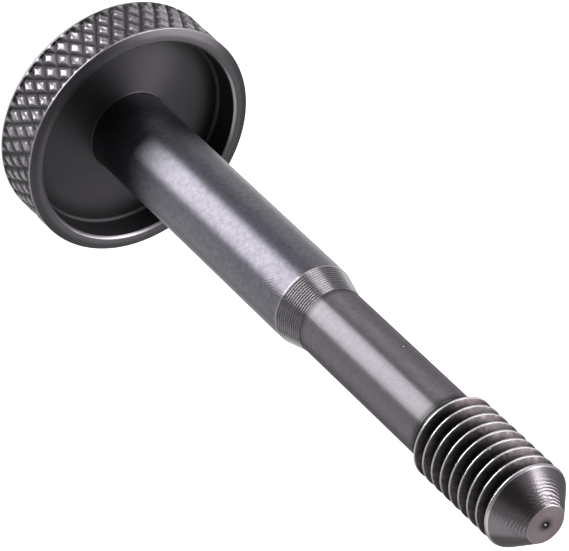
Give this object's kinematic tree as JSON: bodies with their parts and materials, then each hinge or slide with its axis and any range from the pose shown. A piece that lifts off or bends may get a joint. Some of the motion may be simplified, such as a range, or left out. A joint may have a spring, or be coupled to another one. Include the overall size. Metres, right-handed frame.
{
  "type": "blade clamp bolt",
  "caption": "Turned steel clamp bolt with a knurled head recessed underneath, a plain shank, a slimmer neck and a ringed end with a conical tip, gripped by quick-release jaws.",
  "frame": {"origin": "centre of the head's outer face, on which the bolt stands", "axes": "+Z along the bolt's axis, from the head to the conical tip"},
  "size_m": [0.02, 0.02, 0.0602],
  "materials": {
    "blackened_steel": "dark satin steel with fine turning marks"
  },
  "bodies": {
    "root": {"clamp_bolt": "blackened_steel"}
  },
  "joints": []
}
